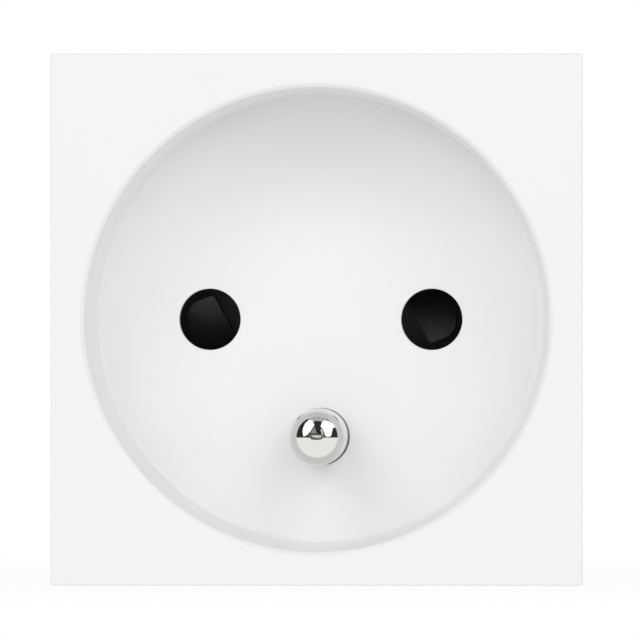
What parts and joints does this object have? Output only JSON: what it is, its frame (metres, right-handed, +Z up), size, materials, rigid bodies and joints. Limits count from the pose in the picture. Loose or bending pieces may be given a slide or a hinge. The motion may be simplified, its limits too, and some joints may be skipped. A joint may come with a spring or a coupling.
{
  "type": "modular socket",
  "caption": "Square white modular socket outlet with a deep round well, two pin holes, a fixed earth pin and a safety shutter, for a mains plug.",
  "frame": {"origin": "middle of the module's footprint in X and Y, at the lower edge of the face", "axes": "+X to the right and +Z up as seen from the front, +Y from the face into the wall"},
  "size_m": [0.045, 0.039, 0.045],
  "materials": {
    "white_plastic": "smooth white moulding, soft gloss",
    "grey_plastic": "light grey moulding, fine matt",
    "black_plastic": "black moulding, satin",
    "orange_plastic": "orange moulding, satin",
    "nickel_plate": "bright nickel on turned brass",
    "contact_brass": "stamped strip, bright",
    "spring_steel": "bright spring steel",
    "zinc_steel": "bright zinc on steel"
  },
  "bodies": {
    "module": {"front_cover": "white_plastic", "rear_housing": "grey_plastic", "shutter_carrier": "black_plastic", "shutter_spring": "spring_steel", "pivot_screw": "zinc_steel", "cover_screw_lower_left": "zinc_steel", "cover_screw_upper_left": "zinc_steel", "cover_screw_lower_right": "zinc_steel", "cover_screw_upper_right": "zinc_steel", "earth_pin": "nickel_plate", "earth_bar": "contact_brass", "line_contact": "contact_brass", "neutral_contact": "contact_brass", "line_contact_clip": "spring_steel", "neutral_contact_clip": "spring_steel", "line_clamp_left": "spring_steel", "line_clamp_right": "spring_steel", "neutral_clamp_left": "spring_steel", "neutral_clamp_right": "spring_steel", "earth_clamp_left": "spring_steel", "earth_clamp_right": "spring_steel"},
    "shutter_rotor": {"shutter": "black_plastic"},
    "line_release": {"line_lever": "orange_plastic"},
    "neutral_release": {"neutral_lever": "orange_plastic"},
    "earth_release": {"earth_lever": "orange_plastic"}
  },
  "joints": [
    {"name": "shutter_turn", "type": "hinge", "parent": "module", "child": "shutter_rotor", "pos_m": [0, 0, 0.0225], "axis": [0, 1, 0], "range_deg": [0, 34], "stiffness_Nm_per_rad": 0.004, "springref_deg": -8.59, "deforming": ["shutter_spring"]},
    {"name": "line_lever_press", "type": "slide", "parent": "module", "child": "line_release", "axis": [0, -1, 0], "range_m": [0, 0.0018], "stiffness_N_per_m": 800, "springref_m": -0.0005, "deforming": ["line_clamp_left", "line_clamp_right"]},
    {"name": "neutral_lever_press", "type": "slide", "parent": "module", "child": "neutral_release", "axis": [0, -1, 0], "range_m": [0, 0.0018], "stiffness_N_per_m": 800, "springref_m": -0.0005, "deforming": ["neutral_clamp_left", "neutral_clamp_right"]},
    {"name": "earth_lever_press", "type": "slide", "parent": "module", "child": "earth_release", "axis": [0, -1, 0], "range_m": [0, 0.0018], "stiffness_N_per_m": 800, "springref_m": -0.0005, "deforming": ["earth_clamp_left", "earth_clamp_right"]}
  ]
}
